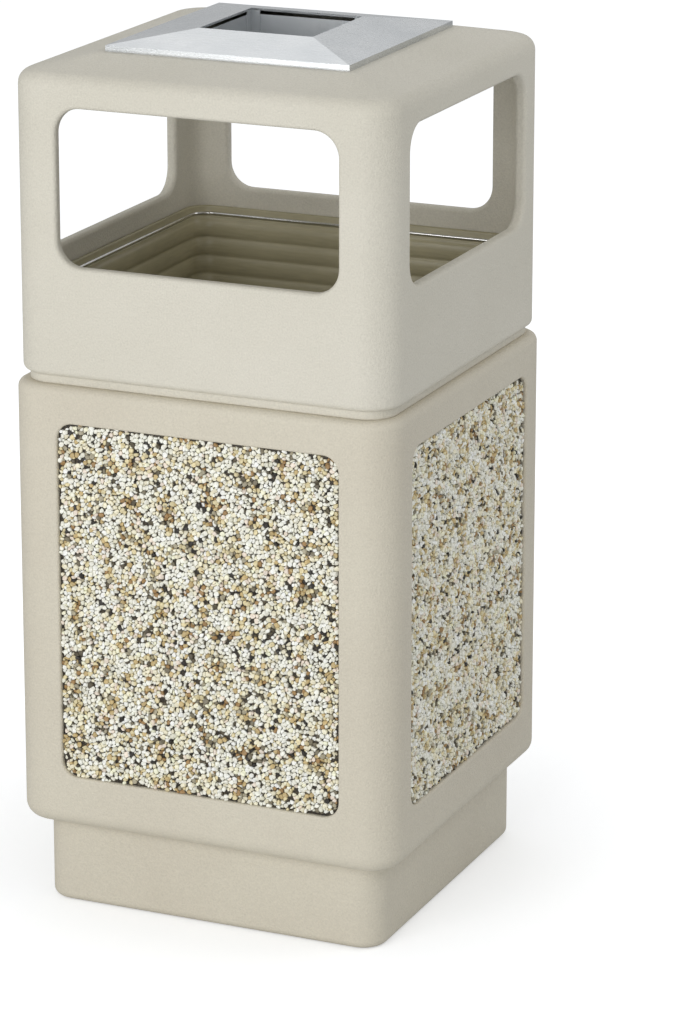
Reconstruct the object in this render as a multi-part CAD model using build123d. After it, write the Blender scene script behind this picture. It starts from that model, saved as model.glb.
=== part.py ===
from build123d import *
import os

# Ash and litter bin: a square two-piece plastic housing with stone panels, a lift-out liner
# and a stainless ash tray. Millimetres, +Z up, origin at the centre of the footprint.

# ---- overall sizes -------------------------------------------------------------------------
OVERALL_WIDTH = 463.55
OVERALL_HEIGHT = 996.95
HOUSING_CORNER = 40.0

# ---- body: lower housing with its plinth ---------------------------------------------------
BODY_WALL = 6.0
BODY_TOP_ROUND = 9.5
BODY_BOTTOM_ROUND = 18.0
LIP_WIDTH = 15.5
LIP_DEPTH = 10.0
PLINTH_HEIGHT = 100.0
PLINTH_INSET = 24.775
PLINTH_CORNER = 30.0
PLINTH_ROUND = 9.0
FLOOR_THICKNESS = 6.0

# ---- stone panels in their pockets ---------------------------------------------------------
PANEL_BESIDE = 61.875
PANEL_ABOVE = 41.4
PANEL_BELOW = 61.0
PANEL_CORNER = 19.0
PANEL_RECESS = 4.0
PANEL_EDGE_ROUND = 3.0
AGGREGATE_THICKNESS = 8.0
BACKING_THICKNESS = 5.0
PANEL_CLEARANCE = 0.3
POCKET_WALL = 5.0

# ---- panel fasteners -----------------------------------------------------------------------
SCREW_EDGE_X = 24.0
SCREW_EDGE_Z = 28.0
SCREW_ROWS = 3
SCREW_RADIUS = 2.5
SCREW_HOLE_CLEARANCE = 0.3
THREAD_CLEARANCE = 0.05
SCREW_HEAD_RADIUS = 4.5
SCREW_HEAD_HEIGHT = 1.8
SCREW_SOCKET_RADIUS = 1.3
SCREW_SOCKET_DEPTH = 1.1
WASHER_RADIUS = 6.0
WASHER_THICKNESS = 0.8
INSERT_RADIUS = 3.8
INSERT_FLANGE_RADIUS = 5.0
INSERT_FLANGE_THICKNESS = 1.0

# ---- liner ---------------------------------------------------------------------------------
LINER_WALL = 2.5
LINER_FLOOR = 3.0
LINER_RIM_RISE = 112.0
LINER_RIM_SIDE_GAP = 1.0
LINER_BEAD_WIDTH = 4.5
LINER_BEAD_ROUND = 2.0
LINER_LEDGE_DEPTH = 11.0
LINER_LEDGE_WIDTH = 4.2
LINER_RIM_SKIRT = 15.0
LINER_BOTTOM_CLEARANCE = 16.5
LINER_BOTTOM_CORNER = 20.0
LINER_BOTTOM_ROUND = 12.0
RIB_PITCH = 22.0
RIB_DEPTH = 2.6
RIB_COUNT = 14
RIB_SHARE = 0.45

# ---- bag ring ------------------------------------------------------------------------------
RING_WIRE_RADIUS = 1.9
RING_CLEARANCE = 0.3

# ---- hood ----------------------------------------------------------------------------------
HOOD_INSET = 4.575
HOOD_HEIGHT = 362.0
HOOD_WALL = 14.0
HOOD_TOP_ROUND = 17.0
HOOD_TOP_FALL = 15.7
HOOD_CEILING = 24.0
HOOD_CEILING_ROUND = 10.0
HOOD_BOTTOM_ROUND = 7.4
NECK_INSET = 7.7
NECK_HEIGHT = 10.0
NECK_FOOT_ROUND = 1.5
NECK_BORE_STEP = 1.3
SPIGOT_DEPTH = 24.0
SPIGOT_CLEARANCE = 0.3
WINDOW_BESIDE = 59.5
WINDOW_SILL = 135.5
WINDOW_HEAD = 49.6
WINDOW_CORNER = 29.0
WINDOW_EDGE_ROUND = 5.0

# ---- ash tray ------------------------------------------------------------------------------
TRAY_WIDTH = 291.5
TRAY_OPENING = 137.0
TRAY_FLANGE = 6.85
TRAY_SLOPE_RISE = 12.1
TRAY_SHEET = 1.2
TRAY_HEM = 8.0
TRAY_LAND = 9.0
PAN_OVERSIZE = 3.0
PAN_SHEET = 1.0
PAN_DEPTH = 52.0
PAN_TOP_DROP = 7.0
POST_LEG = 12.0
POST_SHEET = 1.2
POST_OVERLAP = 30.0
WELL_SIDE_CLEARANCE = 5.0
WELL_FLOOR_CLEARANCE = 2.0
WELL_WALL = 5.0
WELL_CORNER = 8.0

# ---- places worked out from the sizes ------------------------------------------------------
SIDE_TURNS = {"front": 0, "right": 90, "back": 180, "left": 270}
HOOD_TOP = OVERALL_HEIGHT - TRAY_SLOPE_RISE - TRAY_FLANGE
BODY_TOP = HOOD_TOP - HOOD_HEIGHT
BODY_HALF = OVERALL_WIDTH / 2
PLINTH_HALF = BODY_HALF - PLINTH_INSET
BODY_INNER_ROUND = BODY_BOTTOM_ROUND - BODY_WALL

PANEL_WIDTH = OVERALL_WIDTH - 2 * PANEL_BESIDE
PANEL_LOW = PLINTH_HEIGHT + PANEL_BELOW
PANEL_HIGH = BODY_TOP - PANEL_ABOVE
PANEL_HEIGHT = PANEL_HIGH - PANEL_LOW
PANEL_MIDDLE = (PANEL_LOW + PANEL_HIGH) / 2
POCKET_DEPTH = PANEL_RECESS + AGGREGATE_THICKNESS + BACKING_THICKNESS
POCKET_FLOOR_HALF = BODY_HALF - POCKET_DEPTH
POCKET_BACK_HALF = POCKET_FLOOR_HALF - POCKET_WALL

HOOD_HALF = BODY_HALF - HOOD_INSET
HOOD_INNER_HALF = HOOD_HALF - HOOD_WALL
HOOD_INNER_CORNER = HOUSING_CORNER - HOOD_WALL
HOOD_BOTTOM = BODY_TOP + NECK_HEIGHT
CEILING_Z = HOOD_TOP - HOOD_CEILING
EAVES_Z = HOOD_TOP - HOOD_TOP_FALL
NECK_HALF = HOOD_HALF - NECK_INSET
NECK_CORNER = HOUSING_CORNER - NECK_INSET
BORE_HALF = HOOD_INNER_HALF - NECK_BORE_STEP
MOUTH_HALF = BODY_HALF - LIP_WIDTH
MOUTH_CORNER = HOUSING_CORNER - LIP_WIDTH + NECK_INSET
SPIGOT_HALF = MOUTH_HALF - SPIGOT_CLEARANCE
SPIGOT_CORNER = MOUTH_CORNER - SPIGOT_CLEARANCE
WINDOW_WIDTH = 2 * (HOOD_HALF - WINDOW_BESIDE)
WINDOW_LOW = BODY_TOP + WINDOW_SILL
WINDOW_HIGH = HOOD_TOP - WINDOW_HEAD
WINDOW_MIDDLE = (WINDOW_LOW + WINDOW_HIGH) / 2

RIM_HALF = BORE_HALF - LINER_RIM_SIDE_GAP
RIM_CORNER = NECK_CORNER - (NECK_HALF - RIM_HALF) / 2
RIM_TOP = BODY_TOP + LINER_RIM_RISE
LEDGE_HALF = RIM_HALF - LINER_BEAD_WIDTH
LEDGE_Z = RIM_TOP - LINER_LEDGE_DEPTH
LINER_TOP_HALF = LEDGE_HALF - LINER_LEDGE_WIDTH
LINER_RIB_TOP = RIM_TOP - LINER_RIM_SKIRT
LINER_BOTTOM_HALF = PLINTH_HALF - BODY_WALL - LINER_BOTTOM_CLEARANCE - LINER_WALL

TRAY_HALF = TRAY_WIDTH / 2
LAND_HALF = TRAY_HALF + TRAY_LAND
OPENING_HALF = TRAY_OPENING / 2
SLOPE_FOOT = HOOD_TOP + TRAY_FLANGE
SLOPE = TRAY_SLOPE_RISE / (TRAY_HALF - OPENING_HALF)
SHEET_DROP = TRAY_SHEET * (1 + SLOPE**2) ** 0.5
PAN_HALF = OPENING_HALF + PAN_OVERSIZE
PAN_TOP = OVERALL_HEIGHT - PAN_TOP_DROP
PAN_BOTTOM = PAN_TOP - PAN_DEPTH
WELL_HALF = PAN_HALF + WELL_SIDE_CLEARANCE
WELL_FLOOR_Z = PAN_BOTTOM - WELL_FLOOR_CLEARANCE


def square_block(half, corner, low, high):
    """An upright block, square in plan with rounded corners, between two heights."""
    outline = RectangleRounded(2 * half, 2 * half, corner)
    return extrude(Pos(0, 0, low) * outline, high - low)


def sharp_block(half, low, high):
    """An upright block, square in plan with sharp corners, between two heights."""
    return extrude(Pos(0, 0, low) * Rectangle(2 * half, 2 * half), high - low)


def edges_at(part, height):
    """The edges of a part that lie wholly at one height."""
    return part.edges().filter_by_position(Axis.Z, height, height)


def side_plane(half):
    """The front side's plane at a distance from the middle, with its normal pointing out."""
    return Plane(origin=(0, -half, 0), x_dir=(1, 0, 0), z_dir=(0, -1, 0))


def side_block(width, height, corner, middle, outer_half, inner_half):
    """A rounded rectangular block in the front side, from one depth to another."""
    outline = side_plane(inner_half) * Pos(0, middle) * RectangleRounded(width, height, corner)
    return extrude(outline, outer_half - inner_half)


def on_sides(make):
    """The same solid made once and turned to all four sides."""
    front = make()
    return [Rot(0, 0, turn) * front for turn in SIDE_TURNS.values()]


def screw_places():
    """Where the screws lie across the front side: two columns of evenly spaced rows."""
    column = PANEL_WIDTH / 2 - SCREW_EDGE_X
    low = PANEL_LOW + SCREW_EDGE_Z
    step = (PANEL_HEIGHT - 2 * SCREW_EDGE_Z) / (SCREW_ROWS - 1)
    return [(x, low + row * step) for x in (-column, column) for row in range(SCREW_ROWS)]


def side_cylinders(radius, outer_half, inner_half):
    """A cylinder at each screw place of the front side, from one depth to another."""
    plane = side_plane(inner_half)
    depth = outer_half - inner_half
    return [extrude(plane * Pos(x, z) * Circle(radius), depth) for x, z in screw_places()]


# ---- body ----------------------------------------------------------------------------------
def make_body_outside():
    upper = square_block(BODY_HALF, HOUSING_CORNER, PLINTH_HEIGHT, BODY_TOP)
    upper = fillet(edges_at(upper, BODY_TOP), BODY_TOP_ROUND)
    upper = fillet(edges_at(upper, PLINTH_HEIGHT), BODY_BOTTOM_ROUND)
    overlap = BODY_BOTTOM_ROUND
    plinth = square_block(PLINTH_HALF, PLINTH_CORNER, 0, PLINTH_HEIGHT + overlap)
    plinth = fillet(edges_at(plinth, 0), PLINTH_ROUND)
    return upper + plinth


def make_body_inside():
    half = BODY_HALF - BODY_WALL
    low = PLINTH_HEIGHT + BODY_WALL
    high = BODY_TOP - LIP_DEPTH
    room = square_block(half, HOUSING_CORNER - BODY_WALL, low, high)
    room = fillet(edges_at(room, low), BODY_INNER_ROUND)
    plinth_half = PLINTH_HALF - BODY_WALL
    plinth_corner = PLINTH_CORNER - BODY_WALL
    plinth_high = low + BODY_INNER_ROUND
    plinth_room = square_block(plinth_half, plinth_corner, FLOOR_THICKNESS, plinth_high)
    return room + plinth_room


def make_pocket_bosses():
    width = PANEL_WIDTH + 2 * POCKET_WALL
    height = PANEL_HEIGHT + 2 * POCKET_WALL
    corner = PANEL_CORNER + POCKET_WALL
    skin_middle = BODY_HALF - BODY_WALL / 2
    return on_sides(
        lambda: side_block(width, height, corner, PANEL_MIDDLE, skin_middle, POCKET_BACK_HALF)
    )


def make_pocket():
    return side_block(
        PANEL_WIDTH, PANEL_HEIGHT, PANEL_CORNER, PANEL_MIDDLE, BODY_HALF, POCKET_FLOOR_HALF
    )


def make_body_shell():
    inside = make_body_inside()
    for boss in make_pocket_bosses():
        inside -= boss
    shell = make_body_outside() - inside
    for pocket in on_sides(make_pocket):
        shell -= pocket
    rims = [
        edge
        for face in shell.faces()
        if max(abs(face.center().X), abs(face.center().Y)) > BODY_HALF - BODY_WALL / 2
        for wire in face.inner_wires()
        for edge in wire.edges()
    ]
    shell = fillet(rims, PANEL_EDGE_ROUND)
    shell -= square_block(MOUTH_HALF, MOUTH_CORNER, BODY_TOP - 2 * LIP_DEPTH, BODY_TOP)
    hole = SCREW_RADIUS + SCREW_HOLE_CLEARANCE
    holes = side_cylinders(hole, POCKET_FLOOR_HALF, POCKET_BACK_HALF)
    for turn in SIDE_TURNS.values():
        shell -= [Rot(0, 0, turn) * cut for cut in holes]
    return shell


# ---- stone panels --------------------------------------------------------------------------
def make_backing():
    face_half = POCKET_FLOOR_HALF + BACKING_THICKNESS
    board = side_block(
        PANEL_WIDTH - 2 * PANEL_CLEARANCE,
        PANEL_HEIGHT - 2 * PANEL_CLEARANCE,
        PANEL_CORNER - PANEL_CLEARANCE,
        PANEL_MIDDLE,
        face_half,
        POCKET_FLOOR_HALF,
    )
    for cut in side_cylinders(INSERT_RADIUS + THREAD_CLEARANCE, face_half, POCKET_FLOOR_HALF):
        board -= cut
    flange_half = POCKET_FLOOR_HALF + INSERT_FLANGE_THICKNESS
    for cut in side_cylinders(
        INSERT_FLANGE_RADIUS + THREAD_CLEARANCE, flange_half, POCKET_FLOOR_HALF
    ):
        board -= cut
    return board


def make_aggregate():
    back_half = POCKET_FLOOR_HALF + BACKING_THICKNESS
    return side_block(
        PANEL_WIDTH - 2 * PANEL_CLEARANCE,
        PANEL_HEIGHT - 2 * PANEL_CLEARANCE,
        PANEL_CORNER - PANEL_CLEARANCE,
        PANEL_MIDDLE,
        back_half + AGGREGATE_THICKNESS,
        back_half,
    )


def make_inserts():
    face_half = POCKET_FLOOR_HALF + BACKING_THICKNESS
    flange_half = POCKET_FLOOR_HALF + INSERT_FLANGE_THICKNESS
    barrels = side_cylinders(INSERT_RADIUS, face_half, POCKET_FLOOR_HALF)
    flanges = side_cylinders(INSERT_FLANGE_RADIUS, flange_half, POCKET_FLOOR_HALF)
    threads = side_cylinders(SCREW_RADIUS + THREAD_CLEARANCE, face_half, POCKET_FLOOR_HALF)
    return [barrel + flange - thread for barrel, flange, thread in zip(barrels, flanges, threads)]


def make_washers():
    inner_half = POCKET_BACK_HALF - WASHER_THICKNESS
    discs = side_cylinders(WASHER_RADIUS, POCKET_BACK_HALF, inner_half)
    hole = SCREW_RADIUS + SCREW_HOLE_CLEARANCE
    holes = side_cylinders(hole, POCKET_BACK_HALF, inner_half)
    return [disc - cut for disc, cut in zip(discs, holes)]


def make_screws():
    seat_half = POCKET_BACK_HALF - WASHER_THICKNESS
    head_half = seat_half - SCREW_HEAD_HEIGHT
    tip_half = POCKET_FLOOR_HALF + BACKING_THICKNESS
    shanks = side_cylinders(SCREW_RADIUS, tip_half, seat_half)
    heads = side_cylinders(SCREW_HEAD_RADIUS, seat_half, head_half)
    sockets = side_cylinders(SCREW_SOCKET_RADIUS, head_half + SCREW_SOCKET_DEPTH, head_half)
    return [shank + head - socket for shank, head, socket in zip(shanks, heads, sockets)]


# ---- liner ---------------------------------------------------------------------------------
def liner_half_at(height):
    """The inside half-width of the tapering liner wall at a height, ribs left out."""
    share = (height - FLOOR_THICKNESS) / (LINER_RIB_TOP - FLOOR_THICKNESS)
    return LINER_BOTTOM_HALF + (LINER_TOP_HALF - LINER_BOTTOM_HALF) * share


def liner_corner_at(height):
    """The inside corner radius of the liner wall at a height."""
    share = (height - FLOOR_THICKNESS) / (LINER_RIB_TOP - FLOOR_THICKNESS)
    top_corner = RIM_CORNER - (RIM_HALF - LINER_TOP_HALF)
    return LINER_BOTTOM_CORNER + (top_corner - LINER_BOTTOM_CORNER) * share


def liner_levels():
    """Heights of the wall's sections with the depth to which each stands in as a rib."""
    levels = [(LINER_RIB_TOP, 0.0)]
    for rib in range(RIB_COUNT):
        middle = LINER_RIB_TOP - (rib + 1) * RIB_PITCH
        reach = RIB_PITCH * RIB_SHARE / 2
        levels += [(middle + 2 * reach, 0.0)] if rib == 0 else []
        levels += [(middle + reach / 2, RIB_DEPTH), (middle - reach / 2, RIB_DEPTH)]
        levels += [(middle - 2 * reach, 0.0)]
    return levels


def make_liner_form(growth, bottom):
    """The liner's tapering ribbed form, grown outward from its inside face."""
    sections = []
    for height, rib in liner_levels():
        half = liner_half_at(height) - rib + growth
        corner = liner_corner_at(height) + growth
        sections.append(Pos(0, 0, height) * RectangleRounded(2 * half, 2 * half, corner))
    half = liner_half_at(bottom) + growth
    corner = liner_corner_at(bottom) + growth
    sections.append(Pos(0, 0, bottom) * RectangleRounded(2 * half, 2 * half, corner))
    return loft(sections[::-1], ruled=True)


def make_liner():
    inner_floor = FLOOR_THICKNESS + LINER_FLOOR
    outside = make_liner_form(LINER_WALL, FLOOR_THICKNESS)
    outside = fillet(edges_at(outside, FLOOR_THICKNESS), LINER_BOTTOM_ROUND)
    inside = make_liner_form(0, inner_floor)
    inside = fillet(edges_at(inside, inner_floor), LINER_BOTTOM_ROUND - LINER_WALL)
    rim = square_block(RIM_HALF, RIM_CORNER, LINER_RIB_TOP, RIM_TOP)
    rim = fillet(edges_at(rim, RIM_TOP), LINER_BEAD_ROUND)
    ledge_corner = RIM_CORNER - LINER_BEAD_WIDTH
    rim -= square_block(LEDGE_HALF, ledge_corner, LEDGE_Z, RIM_TOP)
    wall_corner = liner_corner_at(LINER_RIB_TOP)
    rim -= square_block(LINER_TOP_HALF, wall_corner, LINER_RIB_TOP, LEDGE_Z)
    return outside - inside + rim


def make_bag_ring():
    reach = RING_WIRE_RADIUS + RING_CLEARANCE
    half = LEDGE_HALF - reach
    corner = RIM_CORNER - LINER_BEAD_WIDTH - reach
    height = LEDGE_Z + reach
    path = Pos(0, 0, height) * RectangleRounded(2 * half, 2 * half, corner)
    section = Plane(origin=(half, 0, height), z_dir=(0, 1, 0)) * Circle(RING_WIRE_RADIUS)
    return sweep(section, path=path.faces()[0].outer_wire())


# ---- hood ----------------------------------------------------------------------------------
def make_roof():
    """The four slopes of the hood's top, from the flat land round the tray down to the eaves."""
    outline = RectangleRounded(2 * HOOD_HALF, 2 * HOOD_HALF, HOUSING_CORNER)
    land = RectangleRounded(2 * LAND_HALF, 2 * LAND_HALF, TRAY_LAND)
    return loft([Pos(0, 0, EAVES_Z) * outline, Pos(0, 0, HOOD_TOP) * land], ruled=True)


def make_hood_outside():
    block = square_block(HOOD_HALF, HOUSING_CORNER, HOOD_BOTTOM, EAVES_Z) + make_roof()
    block = fillet(edges_at(block, EAVES_Z), HOOD_TOP_ROUND)
    block = fillet(edges_at(block, HOOD_BOTTOM), HOOD_BOTTOM_ROUND)
    neck = square_block(NECK_HALF, NECK_CORNER, BODY_TOP, HOOD_BOTTOM + NECK_INSET)
    neck = fillet(edges_at(neck, BODY_TOP), NECK_FOOT_ROUND)
    spigot = square_block(SPIGOT_HALF, SPIGOT_CORNER, BODY_TOP - SPIGOT_DEPTH, BODY_TOP)
    return block + neck + spigot


def make_hood_inside():
    room = square_block(HOOD_INNER_HALF, HOOD_INNER_CORNER, HOOD_BOTTOM, CEILING_Z)
    room = fillet(edges_at(room, CEILING_Z), HOOD_CEILING_ROUND)
    bore = square_block(BORE_HALF, HOOD_INNER_CORNER, BODY_TOP - SPIGOT_DEPTH, HOOD_BOTTOM)
    return room + bore


def make_window():
    height = WINDOW_HIGH - WINDOW_LOW
    return side_block(
        WINDOW_WIDTH, height, WINDOW_CORNER, WINDOW_MIDDLE, HOOD_HALF, -HOOD_HALF
    )


def make_hood_shell():
    shell = make_hood_outside() - make_hood_inside()
    window = make_window()
    shell -= window
    shell -= Rot(0, 0, SIDE_TURNS["right"]) * window
    rims = [
        edge
        for face in shell.faces()
        for wire in face.inner_wires()
        if abs(wire.bounding_box().center().Z - WINDOW_MIDDLE) < WINDOW_EDGE_ROUND
        for edge in wire.edges()
    ]
    shell = fillet(rims, WINDOW_EDGE_ROUND)
    well_outer = WELL_HALF + WELL_WALL
    shell += square_block(
        well_outer, WELL_CORNER + WELL_WALL, WELL_FLOOR_Z - WELL_WALL, CEILING_Z + WELL_WALL
    )
    shell -= square_block(WELL_HALF, WELL_CORNER, WELL_FLOOR_Z, HOOD_TOP)
    return shell


# ---- ash tray ------------------------------------------------------------------------------
def slope_height(half):
    """The height of the tray's sloping upper face at a distance from the middle."""
    return SLOPE_FOOT + (TRAY_HALF - half) * SLOPE


def make_tray_form(half, low, drop):
    """A low pyramid with upright sides, its slope set a distance under the tray's face."""
    foot = slope_height(half) - drop
    sides = sharp_block(half, low, foot)
    slopes = loft(
        [
            Pos(0, 0, foot) * Rectangle(2 * half, 2 * half),
            Pos(0, 0, OVERALL_HEIGHT - drop) * Rectangle(TRAY_OPENING, TRAY_OPENING),
        ]
    )
    return sides + slopes


def make_ash_cover():
    outside = make_tray_form(TRAY_HALF, HOOD_TOP, 0)
    under_sheet = make_tray_form(TRAY_HALF - TRAY_SHEET, HOOD_TOP, SHEET_DROP)
    under_hem = make_tray_form(TRAY_HALF - TRAY_SHEET, HOOD_TOP, 2 * SHEET_DROP)
    hem = (under_sheet - under_hem) & sharp_block(OPENING_HALF + TRAY_HEM, HOOD_TOP, OVERALL_HEIGHT)
    cover = outside - under_sheet + hem
    return cover - sharp_block(OPENING_HALF, HOOD_TOP, OVERALL_HEIGHT)


def make_ash_pan():
    outside = sharp_block(PAN_HALF, PAN_BOTTOM, PAN_TOP)
    return outside - sharp_block(PAN_HALF - PAN_SHEET, PAN_BOTTOM + PAN_SHEET, PAN_TOP)


def make_ash_posts():
    outer = PAN_HALF - PAN_SHEET
    low = PAN_TOP - POST_OVERLAP
    frame = sharp_block(outer, low, OVERALL_HEIGHT)
    frame -= sharp_block(outer - POST_SHEET, low, OVERALL_HEIGHT)
    frame &= make_tray_form(TRAY_HALF - TRAY_SHEET, HOOD_TOP, 2 * SHEET_DROP) + sharp_block(
        outer, low, HOOD_TOP
    )
    middle = outer - POST_LEG
    frame -= extrude(Pos(0, 0, low) * Rectangle(2 * middle, 2 * outer), POST_OVERLAP * 2)
    frame -= extrude(Pos(0, 0, low) * Rectangle(2 * outer, 2 * middle), POST_OVERLAP * 2)
    return frame.solids()


# ---- writing the sub-parts -----------------------------------------------------------------
def grouped(front_solids):
    """One compound of separate solids: the front side's, repeated on all four sides."""
    return Compound(
        children=[
            Rot(0, 0, turn) * piece.solid()
            for turn in SIDE_TURNS.values()
            for piece in front_solids
        ]
    )


def main():
    nodes = {
        "body_shell": make_body_shell(),
        "panel_screws": grouped(make_screws()),
        "panel_washers": grouped(make_washers()),
        "panel_inserts": grouped(make_inserts()),
        "liner": make_liner(),
        "bag_ring": make_bag_ring(),
        "hood_shell": make_hood_shell(),
        "ash_cover": make_ash_cover(),
        "ash_pan": make_ash_pan(),
        "ash_posts": Compound(children=list(make_ash_posts())),
    }
    backing = make_backing()
    aggregate = make_aggregate()
    for side, turn in SIDE_TURNS.items():
        nodes[f"panel_backing_{side}"] = Rot(0, 0, turn) * backing
        nodes[f"panel_aggregate_{side}"] = Rot(0, 0, turn) * aggregate
    os.makedirs("parts", exist_ok=True)
    for name, shape in nodes.items():
        export_step(shape, f"parts/{name}.step")


main()
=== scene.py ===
import math

import bpy
import numpy as np
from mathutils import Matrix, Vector


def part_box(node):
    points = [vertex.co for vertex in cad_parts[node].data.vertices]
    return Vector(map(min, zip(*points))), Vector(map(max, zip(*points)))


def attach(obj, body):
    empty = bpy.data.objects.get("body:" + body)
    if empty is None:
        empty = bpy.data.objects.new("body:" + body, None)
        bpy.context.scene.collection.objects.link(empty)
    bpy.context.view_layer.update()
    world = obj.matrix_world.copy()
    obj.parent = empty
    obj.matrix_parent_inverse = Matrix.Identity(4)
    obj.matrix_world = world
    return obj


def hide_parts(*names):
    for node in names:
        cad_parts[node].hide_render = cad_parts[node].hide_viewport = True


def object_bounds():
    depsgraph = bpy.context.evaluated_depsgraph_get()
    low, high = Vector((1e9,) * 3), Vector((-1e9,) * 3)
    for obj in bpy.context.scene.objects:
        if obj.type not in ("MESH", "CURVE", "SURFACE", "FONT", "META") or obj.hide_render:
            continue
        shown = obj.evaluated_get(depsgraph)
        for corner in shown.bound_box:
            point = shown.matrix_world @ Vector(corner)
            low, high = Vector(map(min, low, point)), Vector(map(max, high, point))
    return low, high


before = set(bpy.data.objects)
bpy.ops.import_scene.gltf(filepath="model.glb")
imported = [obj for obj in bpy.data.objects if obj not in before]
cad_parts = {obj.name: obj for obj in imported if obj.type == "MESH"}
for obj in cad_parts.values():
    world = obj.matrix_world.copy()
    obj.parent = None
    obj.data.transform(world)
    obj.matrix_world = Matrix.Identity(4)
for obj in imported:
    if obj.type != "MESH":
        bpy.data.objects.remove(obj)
cad_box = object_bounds()
middle = (cad_box[0] + cad_box[1]) / 2

# Everything is in metres in the CAD frame: +Z up, -Y the front, +X the right side.
MM = 0.001

# ---- camera: degrees, metres from the object's middle, millimetres of lens and sensor ----
CAMERA_AZIMUTH = 24.52
CAMERA_ELEVATION = 16.26
CAMERA_TILT = 14.87
CAMERA_YAW = 23.71
CAMERA_DISTANCE = 4.735
CAMERA_LENS = 144.1
CAMERA_SHIFT = -0.16
SENSOR_WIDTH = 36

# ---- lamps: azimuth, elevation in degrees, distance, size in metres, power in watts ----
LAMPS = {
    "key": (-6, 15, 3.2, 2.2, 45),
    "back": (197, 48, 3.0, 1.9, 6.5),
    "side": (106, 40, 3.0, 1.6, 12),
}

# ---- floor and world: FLOOR_LIFT is the floor's own glow at the two FLOOR_LIFT_RADII ----
FLOOR_HALF = 30.0
FLOOR_Z = -0.0005
FLOOR_COLOURS = ((0.76, 0.77, 0.78), (0.8, 0.81, 0.82))
FLOOR_LIFT = (0.42, 0.64)
FLOOR_LIFT_RADII = (0.26, 0.75)
WORLD_COLOUR = (0.97, 0.985, 1)
WORLD_LIGHT = 0.52

# ---- the four sides, each as a turn of the front about +Z ----
SIDES = {"front": 0, "right": 90, "back": 180, "left": 270}

# ---- panels: the middles of their stones ----
PANEL_CORNER = 18.7 * MM
STONE_SPACING = 4.3 * MM
STONE_SPREAD = 0.5  # furthest shake off the grid, in spacings
STONE_WEIGHT = 0.3  # how far big stones may push small ones back
STONE_MARGIN = 5  # rows and columns beyond the panel
STONE_MISSING = 0.015

# ---- one stone: outline in plan, then heights out from the panel's face ----
STONE_SIDES = 8
STONE_GAP = 0.12 * MM
STONE_SHORTEST = 0.3 * MM
STONE_LONGEST = 0.85  # in spacings
STONE_FACING = 0.05  # least cosine at which a neighbour limits a direction
STONE_EDGE = 0.9 * MM  # least distance from a stone's middle to the panel's edge
STONE_SHOULDER = (0.88, 1.0)  # share of the outline
STONE_CROWN = (0.4, 0.75)  # share of the outline
STONE_HEIGHTS = (-0.7 * MM, 1.5 * MM)
STONE_SHOULDER_DROP = (0.15 * MM, 0.9 * MM)
STONE_CROWN_DROP = (-0.2 * MM, 0.2 * MM)
STONE_PEAK = 0.15 * MM
STONE_TILT = 0.38
STONE_FOOT = -2.2 * MM

# ---- the stones' colours: like ones gathered by slow waves over the panel ----
CLUSTER_WAVES = 24
CLUSTER_LENGTHS = (16 * MM, 60 * MM)
CLUSTER_PULL = 0.7
STONE_STRAYS = 0.055
STONE_TONES = (0.86, 1.08)
STONE_BRIGHTEST = 0.97
FIRST_SEED = 11

# ---- resin bed under the stones ----
BED_DEPTH = 1.6 * MM
BED_CORNER_STEPS = 8

# ---- liner: wall and ribs, rim and ledge, floor ----
LINER_WALL = 2.5 * MM
LINER_BOTTOM_HALF = 182 * MM
LINER_BOTTOM_CORNER = 20 * MM
RIB_PITCH = 22 * MM
RIB_DEPTH = 3.2 * MM
RIB_COUNT = 14.5
RIB_STEPS = 12  # rings to one rib
LINER_RIM_DEPTH = 15 * MM
LINER_RIM_CORNER = 27.9 * MM
LINER_RIM_ROUND = 2 * MM
LINER_BEAD = 4.5 * MM
LINER_LEDGE_DEPTH = 11 * MM
LINER_LEDGE_WIDTH = 4.2 * MM
LINER_LEDGE_DRAFT = 0.8 * MM
LINER_FLOOR = 3 * MM
LINER_INSETS_INSIDE = (3 * MM, 60 * MM, 181 * MM)
LINER_INSETS_OUTSIDE = (181 * MM, 60 * MM, 4 * MM)
LINER_SHARPEST = 1 * MM
CORNER_STEPS = 8
SIDE_STEPS = 10


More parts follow.
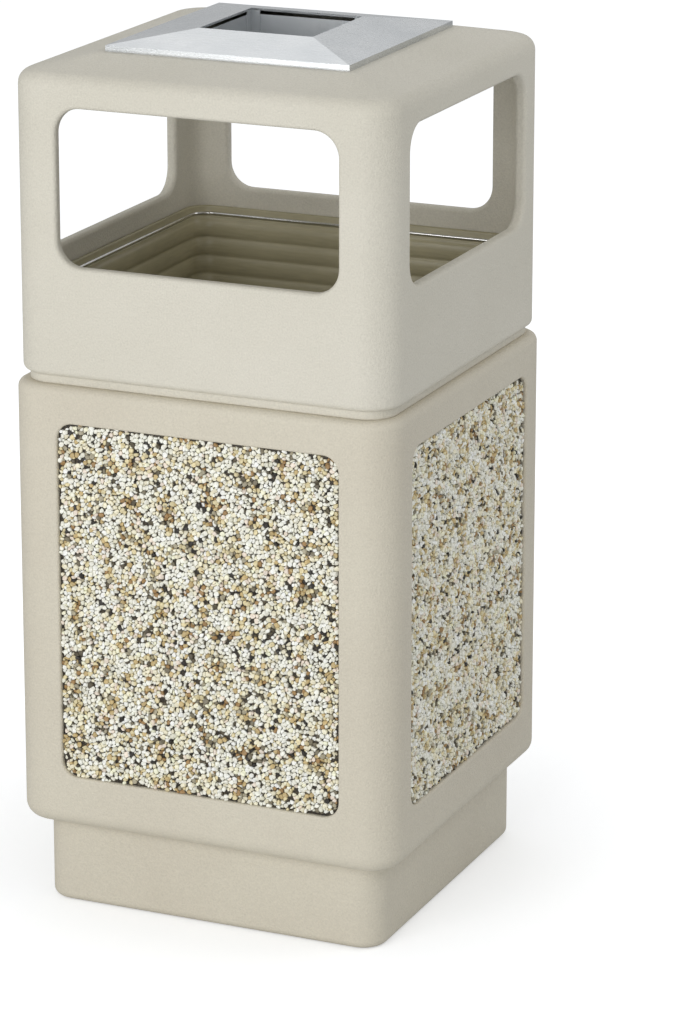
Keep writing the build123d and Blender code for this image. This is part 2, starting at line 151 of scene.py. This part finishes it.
# ---------------------------------------------------------------------------------------------
# Node helpers
# ---------------------------------------------------------------------------------------------
class Shader:
    """A material's node tree, with short calls for the nodes that the materials share."""

    def __init__(self, name):
        self.material = bpy.data.materials.new(name)
        self.material.use_nodes = True
        self.tree = self.material.node_tree
        self.principled = self.tree.nodes["Principled BSDF"]
        self.coords = self.tree.nodes.new("ShaderNodeTexCoord").outputs["Object"]

    def node(self, kind, **settings):
        made = self.tree.nodes.new(kind)
        for key, value in settings.items():
            setattr(made, key, value)
        return made

    def link(self, output, socket):
        self.tree.links.new(output, socket)

    def stretched(self, x, y, z):
        mapping = self.node("ShaderNodeMapping")
        mapping.inputs["Scale"].default_value = (x, y, z)
        self.link(self.coords, mapping.inputs["Vector"])
        return mapping.outputs["Vector"]

    def noise(self, scale, detail=2.0, vector=None, rough=0.5):
        made = self.node("ShaderNodeTexNoise")
        made.inputs["Scale"].default_value = scale
        made.inputs["Detail"].default_value = detail
        made.inputs["Roughness"].default_value = rough
        self.link(vector or self.coords, made.inputs["Vector"])
        return made.outputs["Fac"]

    def ramp(self, factor, *stops):
        made = self.node("ShaderNodeValToRGB")
        elements = made.color_ramp.elements
        while len(elements) < len(stops):
            elements.new(0.5)
        for element, (place, colour) in zip(elements, stops):
            element.position = place
            element.color = (*colour, 1)
        self.link(factor, made.inputs["Fac"])
        return made.outputs["Color"]

    def span(self, factor, low, high, start=0.0, end=1.0):
        made = self.node("ShaderNodeMapRange")
        made.inputs["From Min"].default_value = start
        made.inputs["From Max"].default_value = end
        made.inputs["To Min"].default_value = low
        made.inputs["To Max"].default_value = high
        self.link(factor, made.inputs["Value"])
        return made.outputs["Result"]

    def multiply(self, colour, factor):
        made = self.node("ShaderNodeMix", data_type="RGBA", blend_type="MULTIPLY")
        made.inputs[0].default_value = 1.0
        self.link(colour, made.inputs[6])
        self.link(factor, made.inputs[7])
        return made.outputs[2]

    def bump(self, height, strength, distance, under=None):
        made = self.node("ShaderNodeBump")
        made.inputs["Strength"].default_value = strength
        made.inputs["Distance"].default_value = distance
        self.link(height, made.inputs["Height"])
        if under is not None:
            self.link(under, made.inputs["Normal"])
        return made.outputs["Normal"]

    def finish(self, colour, roughness=None, normal=None, **uniform):
        """Link what varies over the surface, set the uniform values, and give the material."""
        inputs = self.principled.inputs
        for key, value in uniform.items():
            inputs[key.replace("_", " ")].default_value = value
        for name, output in (("Base Color", colour), ("Roughness", roughness), ("Normal", normal)):
            if output is not None:
                self.link(output, inputs[name])
        return self.material


def linear(red, green, blue):
    """A screen colour, 0 to 255 a channel, as the linear colour that the shaders take."""
    return tuple(
        v / 12.92 if v <= 0.04045 else ((v + 0.055) / 1.055) ** 2.4
        for v in (red / 255, green / 255, blue / 255)
    )


# ---------------------------------------------------------------------------------------------
# Materials
# ---------------------------------------------------------------------------------------------
def moulded_plastic(name, light, dark):
    """Rotationally moulded polyethylene: a fine pebbled skin with faint clouds of tone."""
    s = Shader(name)
    clouds = s.ramp(s.noise(5, detail=3), (0.35, dark), (0.68, light))
    specks = s.span(s.noise(480, detail=2), low=0.86, high=1.12)
    colour = s.multiply(clouds, specks)
    skin = s.bump(s.noise(480, detail=3, rough=0.6), strength=0.6, distance=1.8 * MM)
    normal = s.bump(s.noise(9, detail=1), strength=0.25, distance=4 * MM, under=skin)
    roughness = s.span(s.noise(260, detail=3), low=0.46, high=0.62)
    return s.finish(colour, roughness, normal, Specular_IOR_Level=0.38)


def liner_plastic():
    """The liner's shinier polyethylene, with scuffs drawn out sideways; its darker tone is painted
    shade of the bin's inside.
    """
    s = Shader("liner_polyethylene")
    clouds = s.noise(7, detail=3)
    # both tones sit darker than the hood's plastic: painted shade of the bin's inside
    tone = s.ramp(clouds, (0.3, linear(168, 160, 130)), (0.7, linear(182, 174, 143)))
    marks = s.noise(40, detail=4, vector=s.stretched(1, 1, 9))
    colour = s.multiply(tone, s.span(marks, low=0.9, high=1.06, start=0.3, end=0.7))
    rubbed = s.noise(60, detail=4, vector=s.stretched(1, 1, 6))
    roughness = s.span(rubbed, low=0.26, high=0.42)
    normal = s.bump(s.noise(500, detail=2), strength=0.12, distance=0.4 * MM)
    return s.finish(colour, roughness, normal, Specular_IOR_Level=0.5)


def brushed_stainless(name, streaks, low, high):
    """Stainless sheet, its grain stretched along one direction, low to high in roughness."""
    s = Shader(name)
    grain = s.noise(60, detail=6, vector=s.stretched(*streaks), rough=0.7)
    clouds = s.noise(14, detail=2)
    colour = s.ramp(clouds, (0.3, linear(208, 211, 213)), (0.7, linear(220, 222, 223)))
    roughness = s.span(grain, low, high, start=0.3, end=0.7)
    normal = s.bump(grain, strength=0.08, distance=0.4 * MM)
    return s.finish(colour, roughness, normal, Metallic=1.0)


def small_metal(name, scale, dark, light, low, high, strength):
    """Wire, screws and inserts: one fine noise drives the tone, the gloss and the relief."""
    s = Shader(name)
    grain = s.noise(scale, detail=3)
    colour = s.ramp(grain, (0.3, dark), (0.7, light))
    roughness = s.span(grain, low, high)
    normal = s.bump(grain, strength, distance=0.2 * MM)
    return s.finish(colour, roughness, normal, Metallic=1.0)


def bright_wire():
    return small_metal(
        "bright_drawn_wire", 90, linear(214, 214, 212), linear(232, 232, 230), 0.08, 0.18, 0.05
    )


def plated_steel():
    return small_metal(
        "zinc_plated_steel", 300, linear(178, 182, 186), linear(204, 206, 208), 0.25, 0.42, 0.1
    )


def turned_brass():
    return small_metal(
        "turned_brass", 300, linear(181, 148, 82), linear(206, 172, 104), 0.22, 0.38, 0.1
    )


def moulded_board():
    """The boards behind the stone: a dull brown pressed board."""
    s = Shader("moulded_board")
    colour = s.ramp(s.noise(30, detail=4), (0.3, linear(98, 92, 78)), (0.7, linear(122, 115, 98)))
    roughness = s.span(s.noise(200, detail=3), low=0.6, high=0.8)
    normal = s.bump(s.noise(300, detail=3), strength=0.3, distance=0.5 * MM)
    return s.finish(colour, roughness, normal)


def stone():
    """Each stone's own colour, veined and speckled, with the sheen of clear resin."""
    s = Shader("pebble")
    own = s.node("ShaderNodeAttribute", attribute_name="stone").outputs["Color"]
    veins = s.span(s.noise(380, detail=4, rough=0.65), low=0.8, high=1.2, start=0.25, end=0.75)
    colour = s.multiply(own, veins)
    roughness = s.span(s.noise(300, detail=2), low=0.3, high=0.55)
    normal = s.bump(s.noise(900, detail=3), strength=0.25, distance=0.5 * MM)
    return s.finish(colour, roughness, normal, Specular_IOR_Level=0.5)


def resin_bed():
    """The resin and grit in the gaps between the stones, darkened partly for the resin's own
    colour and partly as painted shade of those gaps.
    """
    s = Shader("resin_bed")
    # near-black stops: partly the resin's own colour, partly painted shade between the stones
    grit_and_gap_shade = ((0.4, linear(22, 18, 12)), (0.6, linear(64, 54, 36)), (0.8, linear(120, 106, 78)))
    colour = s.ramp(s.noise(600, detail=3), *grit_and_gap_shade)
    roughness = s.span(s.noise(300, detail=2), low=0.35, high=0.6)
    normal = s.bump(s.noise(900, detail=2), strength=0.4, distance=0.8 * MM)
    return s.finish(colour, roughness, normal)


# ---------------------------------------------------------------------------------------------
# Mesh helpers
# ---------------------------------------------------------------------------------------------
def mesh_object(name, points, faces, material, smooth=True):
    """An object from an array of points and one of faces, which all have as many sides."""
    mesh = bpy.data.meshes.new(name)
    mesh.vertices.add(len(points))
    mesh.vertices.foreach_set("co", np.asarray(points, np.float32).ravel())
    mesh.loops.add(faces.size)
    mesh.loops.foreach_set("vertex_index", faces.astype(np.int32).ravel())
    mesh.polygons.add(len(faces))
    starts = np.arange(0, faces.size, faces.shape[1], dtype=np.int32)
    mesh.polygons.foreach_set("loop_start", starts)
    mesh.update(calc_edges=True)
    mesh.polygons.foreach_set("use_smooth", np.full(len(faces), smooth))
    mesh.materials.append(material)
    mesh.validate()
    made = bpy.data.objects.new(name, mesh)
    bpy.context.scene.collection.objects.link(made)
    return made


def rounded_square(half, corner):
    """Points round a square with rounded corners, as many for any size."""
    straight = half - corner
    points = []
    for quarter in range(4):
        turn = quarter * math.pi / 2
        cos, sin = math.cos(turn), math.sin(turn)
        ring = [(half, -straight + 2 * straight * i / SIDE_STEPS) for i in range(SIDE_STEPS)]
        for i in range(CORNER_STEPS):
            angle = math.pi / 2 * i / CORNER_STEPS
            ring.append((straight + corner * math.cos(angle), straight + corner * math.sin(angle)))
        points += [(x * cos - y * sin, x * sin + y * cos) for x, y in ring]
    return np.array(points)


def turned(points, turn):
    """Points turned about +Z by whole degrees."""
    angle = math.radians(turn)
    cos, sin = math.cos(angle), math.sin(angle)
    x, y, z = points.T
    return np.stack([x * cos - y * sin, x * sin + y * cos, z], 1)


def ring_pairs(count):
    """Each place round a ring, and the next place."""
    here = np.arange(count)
    return here, (here + 1) % count


# ---------------------------------------------------------------------------------------------
# Stone panels
# ---------------------------------------------------------------------------------------------
# share of the stones and screen colour
STONE_COLOURS = [
    (0.45, (255, 253, 240)),
    (0.20, (250, 243, 216)),
    (0.06, (240, 238, 220)),
    (0.05, (248, 234, 218)),
    (0.09, (230, 216, 172)),
    (0.06, (206, 182, 130)),
    (0.03, (168, 134, 88)),
    (0.03, (174, 166, 142)),
]
STRAY_COLOURS = [(128, 120, 100), (92, 84, 66), (48, 44, 38)]


def into_panel(u, v, half_width, half_height, corner):
    """Points moved to the nearest place inside a rounded rectangle."""
    u = np.clip(u, -half_width, half_width)
    v = np.clip(v, -half_height, half_height)
    du = np.maximum(np.abs(u) - (half_width - corner), 0)
    dv = np.maximum(np.abs(v) - (half_height - corner), 0)
    reach = np.hypot(du, dv)
    share = corner / np.maximum(reach, corner)
    u = np.where(reach > corner, np.sign(u) * (half_width - corner + du * share), u)
    v = np.where(reach > corner, np.sign(v) * (half_height - corner + dv * share), v)
    return u, v


def clustered(u, v, draw):
    """A slow random field over the panel, which gathers stones of one colour together."""
    field = np.zeros_like(u)
    for _ in range(CLUSTER_WAVES):
        angle, phase = draw.uniform(0, 2 * math.pi, 2)
        length = draw.uniform(*CLUSTER_LENGTHS)
        along = u * math.cos(angle) + v * math.sin(angle)
        field += np.cos(along * 2 * math.pi / length + phase)
    return field / field.std()


def stone_outlines(half_width, half_height, corner, draw):
    """Middles of tightly packed stones, and each one's reach in evenly spaced directions.

    The middles are a shaken grid. A stone reaches about half-way to each neighbour, more or
    less by their weights, less half the gap.
    """
    rows = int(2 * half_height / STONE_SPACING) + STONE_MARGIN
    columns = int(2 * half_width / STONE_SPACING) + STONE_MARGIN
    shape = (rows, columns)
    j, i = np.meshgrid(np.arange(rows), np.arange(columns), indexing="ij")
    u = i - (columns - 1) / 2 + 0.5 * (j % 2) + draw.uniform(-1, 1, shape) * STONE_SPREAD
    v = j - (rows - 1) / 2 + draw.uniform(-1, 1, shape) * STONE_SPREAD
    u, v = u * STONE_SPACING, v * STONE_SPACING
    weight = draw.uniform(-1, 1, shape) * STONE_WEIGHT * STONE_SPACING**2
    angles = 2 * math.pi * np.arange(STONE_SIDES) / STONE_SIDES
    angles = angles + draw.uniform(0, 2 * math.pi, (*shape, 1))
    reach = np.full((*shape, STONE_SIDES), STONE_LONGEST * STONE_SPACING)
    nearby = [(down, along) for down in range(-2, 3) for along in range(-2, 3)]
    nearby.remove((0, 0))
    for near in nearby:
        du = np.roll(u, near, (0, 1)) - u
        dv = np.roll(v, near, (0, 1)) - v
        apart = np.hypot(du, dv)
        favour = (weight - np.roll(weight, near, (0, 1))) / apart
        half_way = np.maximum((apart + favour) / 2 - STONE_GAP / 2, STONE_SHORTEST)
        facing = np.cos(angles - np.arctan2(dv, du)[..., None])
        limit = half_way[..., None] / np.maximum(facing, STONE_FACING)
        reach = np.where(facing > STONE_FACING, np.minimum(reach, limit), reach)
    inner_u, inner_v = into_panel(
        u, v, half_width - STONE_EDGE, half_height - STONE_EDGE, corner - STONE_EDGE
    )
    keep = (inner_u == u) & (inner_v == v) & (draw.uniform(0, 1, shape) > STONE_MISSING)
    return u[keep], v[keep], reach[keep], angles[keep]


def stone_colours(u, v, draw):
    """A colour for each stone: like colours loosely gathered, and dark strays anywhere."""
    shares = np.cumsum([share for share, _ in STONE_COLOURS])
    palette = np.array([linear(*colour) for _, colour in STONE_COLOURS])
    mixed = CLUSTER_PULL * clustered(u, v, draw) + draw.normal(0, 1, u.size)
    rank = np.argsort(np.argsort(mixed))
    kind = np.searchsorted(shares / shares[-1], (rank + 0.5) / u.size)
    strays = np.array([linear(*colour) for colour in STRAY_COLOURS])
    stray = (draw.uniform(0, 1, u.size) < STONE_STRAYS)[:, None]
    colours = np.where(stray, strays[draw.integers(0, len(strays), u.size)], palette[kind])
    return np.clip(colours * draw.uniform(*STONE_TONES, (u.size, 1)), 0, STONE_BRIGHTEST)


def stone_faces():
    """Triangles of one stone: foot, shoulder and crown rings closed above and below."""
    i, k = ring_pairs(STONE_SIDES)
    foot, shoulder, crown, top = (STONE_SIDES * ring for ring in range(4))
    under = top + 1
    faces = []
    for low, high in ((foot, shoulder), (shoulder, crown)):
        faces.append(np.stack([low + i, low + k, high + k], 1))
        faces.append(np.stack([low + i, high + k, high + i], 1))
    faces.append(np.stack([crown + i, crown + k, np.full_like(i, top)], 1))
    faces.append(np.stack([foot + k, foot + i, np.full_like(i, under)], 1))
    return np.concatenate(faces)


def make_stones(side, turn, half_width, half_height, corner, middle_z, face_y, material, seed):
    """The crushed stones of one panel: low angular lumps, closed, tightly packed."""
    draw = np.random.default_rng(seed)
    u, v, reach, angles = stone_outlines(half_width, half_height, corner, draw)
    count = u.size
    cos, sin = np.cos(angles), np.sin(angles)
    crown = draw.uniform(*STONE_CROWN, (count, 1))
    height = draw.uniform(*STONE_HEIGHTS, (count, 1))
    tilt = draw.normal(0, STONE_TILT, (count, 2))
    each_side = (count, STONE_SIDES)
    shoulder = draw.uniform(*STONE_SHOULDER, each_side)
    shoulder_drop = draw.uniform(*STONE_SHOULDER_DROP, each_side)
    crown_drop = draw.uniform(*STONE_CROWN_DROP, each_side)
    rings = []
    for share, drop in ((1.0, None), (shoulder, shoulder_drop), (crown, crown_drop)):
        across, up = reach * share * cos, reach * share * sin
        if drop is None:
            out = np.full_like(across, STONE_FOOT)
        else:
            out = height - drop + across * tilt[:, :1] + up * tilt[:, 1:]
        ring = into_panel(u[:, None] + across, v[:, None] + up, half_width, half_height, corner)
        rings.append(np.stack([*ring, out], -1))
    top = np.stack([u, v, height[:, 0] + STONE_PEAK], -1)[:, None]
    under = np.stack([u, v, np.full_like(u, STONE_FOOT)], -1)[:, None]
    points = np.concatenate([*rings, top, under], 1)
    points[..., 2] = np.clip(points[..., 2], STONE_FOOT, STONE_HEIGHTS[1])
    colours = np.ones((count, points.shape[1], 4), np.float32)
    colours[..., :3] = stone_colours(u, v, draw)[:, None]
    for half, chosen in (("a", u < 0), ("b", u >= 0)):
        part = points[chosen]
        across, up, out = part.reshape(-1, 3).T
        placed = turned(np.stack([across, face_y - out, up + middle_z], 1), turn)
        first = np.arange(len(part)) * points.shape[1]
        faces = (stone_faces()[None] + first[:, None, None]).reshape(-1, 3)
        made = mesh_object(f"stones_{side}_{half}", placed, faces, material, False)
        layer = made.data.color_attributes.new("stone", "FLOAT_COLOR", "POINT")
        layer.data.foreach_set("color", colours[chosen].ravel())
        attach(made, "body")


def make_bed(side, turn, half_width, half_height, corner, middle_z, face_y, back_y, material):
    """The slab that the stones sit in, dark partly as resin and partly as painted shade in the
    gaps: a closed rounded plate.
    """
    outline = []
    for quarter, (su, sv) in enumerate(((1, 1), (-1, 1), (-1, -1), (1, -1))):
        for step in range(BED_CORNER_STEPS + 1):
            angle = math.pi / 2 * (quarter + step / BED_CORNER_STEPS)
            u = su * (half_width - corner) + corner * math.cos(angle)
            v = sv * (half_height - corner) + corner * math.sin(angle)
            outline.append((u, v))
    count = len(outline)
    across, up = np.array([*outline, (0, 0)]).T
    points = np.concatenate([
        np.stack([across, np.full_like(across, y), up + middle_z], 1)
        for y in (face_y + BED_DEPTH, back_y)
    ])
    i, k = ring_pairs(count)
    back = count + 1
    faces = [
        np.stack([i, k, np.full(count, count)], 1),
        np.stack([back + k, back + i, np.full(count, back + count)], 1),
        np.stack([back + i, back + k, k], 1),
        np.stack([back + i, k, i], 1),
    ]
    points, faces = turned(points, turn), np.concatenate(faces)
    made = mesh_object(f"resin_bed_{side}", points, faces, material, False)
    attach(made, "body")
    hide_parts(f"panel_aggregate_{side}")


def make_panels():
    low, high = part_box("panel_aggregate_front")
    half_width, half_height = (high.x - low.x) / 2, (high.z - low.z) / 2
    shape = (half_width, half_height, PANEL_CORNER, (low.z + high.z) / 2)
    pebbles, bed = stone(), resin_bed()
    for seed, (side, turn) in enumerate(SIDES.items(), FIRST_SEED):
        make_stones(side, turn, *shape, low.y, pebbles, seed)
        make_bed(side, turn, *shape, low.y, high.y, bed)


# ---------------------------------------------------------------------------------------------
# Liner
# ---------------------------------------------------------------------------------------------
def lathe_square(name, profile, material):
    """A closed surface through (half-width, corner, height) rings, capped at both ends."""
    rings = []
    for half, corner, height in profile:
        outline = rounded_square(half, corner)
        rings.append(np.column_stack([outline, np.full(len(outline), height)]))
    count, total = len(rings[0]), len(rings)
    points = np.concatenate(rings)
    i, k = ring_pairs(count)
    faces = []
    for low in range(total - 1):
        a, b = low * count, (low + 1) * count
        faces += [np.stack([a + i, a + k, b + k], 1), np.stack([a + i, b + k, b + i], 1)]
    first, last = len(points), len(points) + 1
    points = np.concatenate([points, [[0, 0, profile[0][2]], [0, 0, profile[-1][2]]]])
    end = (total - 1) * count
    faces.append(np.stack([k, i, np.full(count, first)], 1))
    faces.append(np.stack([end + i, end + k, np.full(count, last)], 1))
    return mesh_object(name, points, np.concatenate(faces), material)


def rounded_path(points, radius, steps=4):
    """(half-width, height) points with the corners between the two ends rounded."""
    path = [points[0]]
    for before, here, after in zip(points, points[1:], points[2:]):
        b, h, a = (np.array(p) for p in (before, here, after))
        to_b, to_a = np.linalg.norm(b - h), np.linalg.norm(a - h)
        reach = min(radius, to_b / 2, to_a / 2)
        start = h + (b - h) / to_b * reach
        end = h + (a - h) / to_a * reach
        for step in range(steps + 1):
            t = step / steps
            path.append(tuple((1 - t) ** 2 * start + 2 * t * (1 - t) * h + t * t * end))
    return [*path, points[-1]]


def floor_rings(half, corner, height, insets):
    """Level rings, each set in by one of the insets, which carry the wall in to the middle."""
    return [(half - r, max(LINER_SHARPEST, corner - r), height) for r in insets]


def make_liner():
    """The lift-out liner: floor, ribbed wall, ledge and rim, with an inner and an outer face."""
    low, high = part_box("liner")
    rim_half, top, bottom = high.x, high.z, low.z
    ledge_half = rim_half - LINER_BEAD
    ledge_z = top - LINER_LEDGE_DEPTH
    wall_top = top - LINER_RIM_DEPTH
    inner_top = ledge_half - LINER_LEDGE_WIDTH
    top_corner = LINER_RIM_CORNER - (rim_half - inner_top)

    def wall_ring(height, growth):
        share = (height - bottom) / (wall_top - bottom)
        half = LINER_BOTTOM_HALF + (inner_top - LINER_BOTTOM_HALF) * share
        corner = LINER_BOTTOM_CORNER + (top_corner - LINER_BOTTOM_CORNER) * share
        rib = RIB_DEPTH * abs(math.sin(math.pi * (wall_top - height) / RIB_PITCH)) ** 0.5
        if height <= wall_top - RIB_COUNT * RIB_PITCH:
            rib = 0
        return (half - rib + growth, corner + growth, height)

    steps = int((wall_top - bottom) / (RIB_PITCH / RIB_STEPS))
    fall = wall_top - bottom - LINER_FLOOR
    heights = [wall_top - fall * i / steps for i in range(steps + 1)]
    inner = [wall_ring(height, 0) for height in heights]
    outer = [wall_ring(height, LINER_WALL) for height in heights]
    rim = [
        (outer[0][0], wall_top),
        (rim_half, wall_top),
        (rim_half, top),
        (ledge_half, top),
        (ledge_half - LINER_LEDGE_DRAFT, ledge_z),
        (inner_top, ledge_z),
        (inner_top, wall_top),
    ]
    rim_rings = [
        (half, LINER_RIM_CORNER - (rim_half - half), height)
        for half, height in rounded_path(rim, LINER_RIM_ROUND)
    ]
    inside = floor_rings(
        LINER_BOTTOM_HALF, LINER_BOTTOM_CORNER, bottom + LINER_FLOOR, LINER_INSETS_INSIDE
    )
    outside = floor_rings(
        LINER_BOTTOM_HALF + LINER_WALL,
        LINER_BOTTOM_CORNER + LINER_WALL,
        bottom,
        LINER_INSETS_OUTSIDE,
    )
    profile = [*outside, *outer[::-1], *rim_rings, *inner[1:], *inside]
    made = lathe_square("liner_bucket", profile, liner_plastic())
    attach(made, "liner")
    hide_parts("liner")


# ---------------------------------------------------------------------------------------------
# Materials on the CAD pieces
# ---------------------------------------------------------------------------------------------
def paint(node, material):
    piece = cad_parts[node]
    piece.data.materials.clear()
    piece.data.materials.append(material)


def dress_cad():
    hood = moulded_plastic("hood_polyethylene", linear(222, 217, 203), linear(217, 212, 197))
    body = moulded_plastic("body_polyethylene", linear(218, 211, 193), linear(213, 205, 187))
    steel = brushed_stainless("tray_stainless", (1, 12, 12), 0.2, 0.34)
    pan = brushed_stainless("pan_stainless", (12, 12, 1), 0.36, 0.5)
    wire = bright_wire()
    plated, brass, board = plated_steel(), turned_brass(), moulded_board()
    looks = {
        "body_shell": body,
        "hood_shell": hood,
        "ash_cover": steel,
        "ash_pan": pan,
        "ash_posts": pan,
        "bag_ring": wire,
        "panel_screws": plated,
        "panel_washers": plated,
        "panel_inserts": brass,
    }
    looks.update({f"panel_backing_{side}": board for side in SIDES})
    for node, material in looks.items():
        paint(node, material)


# ---------------------------------------------------------------------------------------------
# Stage, light and camera
# ---------------------------------------------------------------------------------------------
def outward(azimuth, elevation):
    """The direction out from the object's middle, from two angles in degrees."""
    a, e = math.radians(azimuth), math.radians(elevation)
    return Vector((math.sin(a) * math.cos(e), -math.cos(a) * math.cos(e), math.sin(e)))


def make_floor():
    """A wide pale floor, lifted for the camera alone so that it reads as white further out."""
    corners = ((-1, -1), (1, -1), (1, 1), (-1, 1))
    points = np.array([(x * FLOOR_HALF, y * FLOOR_HALF, FLOOR_Z) for x, y in corners])
    s = Shader("pale_floor")
    colour = s.ramp(s.noise(0.5), (0.3, FLOOR_COLOURS[0]), (0.7, FLOOR_COLOURS[1]))
    s.principled.inputs["Emission Color"].default_value = (1, 1, 1, 1)
    away = s.node("ShaderNodeVectorMath", operation="LENGTH")
    s.link(s.coords, away.inputs[0])
    lift = s.span(away.outputs["Value"], *FLOOR_LIFT, *FLOOR_LIFT_RADII)
    seen = s.node("ShaderNodeMath", operation="MULTIPLY")
    s.link(s.node("ShaderNodeLightPath").outputs["Is Camera Ray"], seen.inputs[0])
    s.link(lift, seen.inputs[1])
    s.link(seen.outputs["Value"], s.principled.inputs["Emission Strength"])
    material = s.finish(colour, Roughness=0.9, Specular_IOR_Level=0.0)
    floor = mesh_object("floor", points, np.array([[0, 1, 2, 3]]), material)


def make_world():
    """Plain white to the camera, and a dimmer, cooler light on the object."""
    world = bpy.data.worlds.new("studio")
    world.use_nodes = True
    tree = world.node_tree
    seen, lit = tree.nodes["Background"], tree.nodes.new("ShaderNodeBackground")
    seen.inputs["Color"].default_value = (1, 1, 1, 1)
    seen.inputs["Strength"].default_value = 1.0
    lit.inputs["Color"].default_value = (*WORLD_COLOUR, 1)
    lit.inputs["Strength"].default_value = WORLD_LIGHT
    path, mix = tree.nodes.new("ShaderNodeLightPath"), tree.nodes.new("ShaderNodeMixShader")
    tree.links.new(path.outputs["Is Camera Ray"], mix.inputs["Fac"])
    tree.links.new(lit.outputs["Background"], mix.inputs[1])
    tree.links.new(seen.outputs["Background"], mix.inputs[2])
    tree.links.new(mix.outputs["Shader"], tree.nodes["World Output"].inputs["Surface"])
    bpy.context.scene.world = world


def make_lamp(name, azimuth, elevation, distance, size, power):
    """A soft square lamp round the object, aimed at its middle."""
    lamp = bpy.data.lights.new(name, "AREA")
    lamp.size, lamp.energy = size, power
    made = bpy.data.objects.new(name, lamp)
    out = outward(azimuth, elevation)
    made.location = middle + out * distance
    made.rotation_mode = "QUATERNION"
    made.rotation_quaternion = out.to_track_quat("Z", "Y")
    made.visible_camera = False
    bpy.context.scene.collection.objects.link(made)


def make_camera():
    data = bpy.data.cameras.new("camera")
    data.lens, data.sensor_width = CAMERA_LENS, SENSOR_WIDTH
    data.clip_start, data.clip_end = 0.1, 100
    data.shift_y = CAMERA_SHIFT
    camera = bpy.data.objects.new("camera", data)
    camera.location = middle + outward(CAMERA_AZIMUTH, CAMERA_ELEVATION) * CAMERA_DISTANCE
    camera.rotation_euler = (math.radians(90 - CAMERA_TILT), 0, math.radians(CAMERA_YAW))
    bpy.context.scene.collection.objects.link(camera)
    bpy.context.scene.camera = camera


make_camera()
make_world()
make_floor()
for name, values in LAMPS.items():
    make_lamp(name, *values)
bpy.context.scene.view_settings.view_transform = "Standard"

dress_cad()
make_panels()
make_liner()
